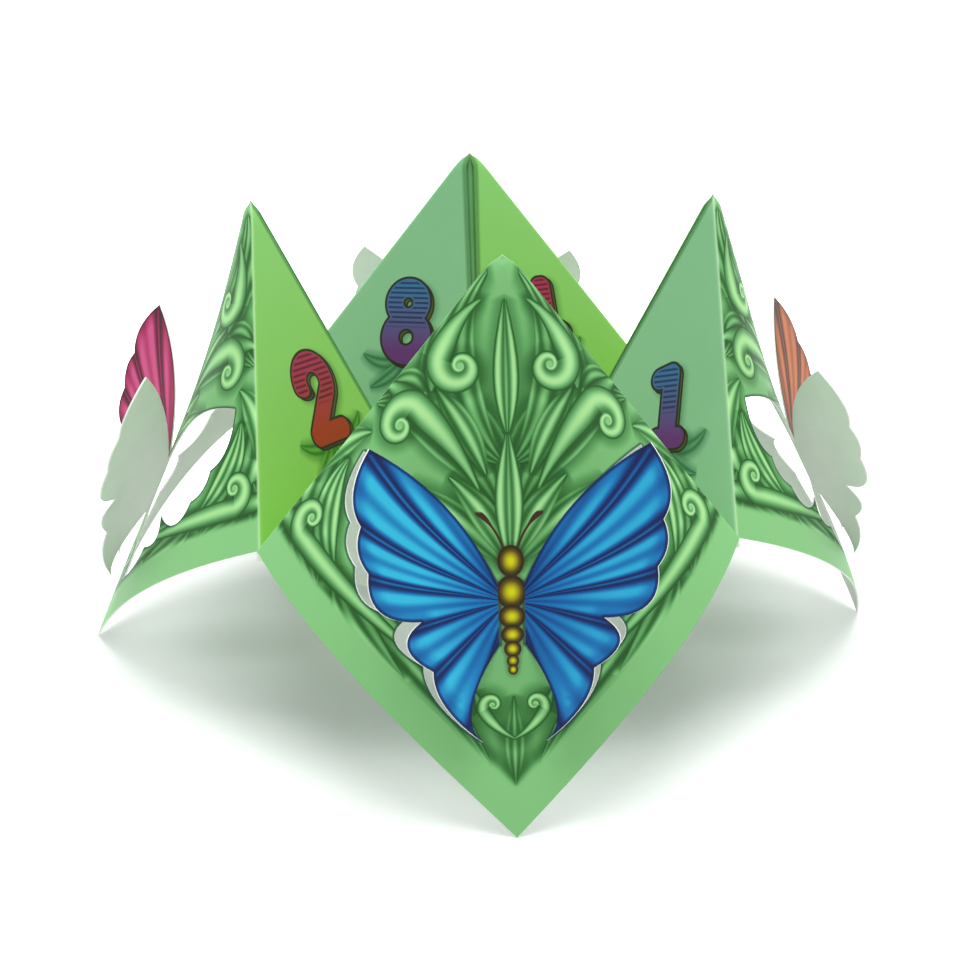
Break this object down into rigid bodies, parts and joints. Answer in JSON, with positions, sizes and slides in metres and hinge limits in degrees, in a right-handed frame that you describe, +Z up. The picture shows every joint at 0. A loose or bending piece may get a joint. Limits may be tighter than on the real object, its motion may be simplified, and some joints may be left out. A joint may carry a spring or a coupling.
{
  "type": "paper fortune teller",
  "caption": "Square of printed card blintz folded twice and opened into horns, each outer flap with a die-cut butterfly whose wings stand out.",
  "frame": {"origin": "on the table under the crossing of the creases, level with the four resting corners", "axes": "+Z up; the four horns point along +X, -X, +Y and -Y, and -Y is the front in the picture"},
  "size_m": [0.1216, 0.1216, 0.0696],
  "materials": {
    "printed_card": "matte"
  },
  "bodies": {
    "root": {"folded_sheet": "printed_card"}
  },
  "joints": []
}
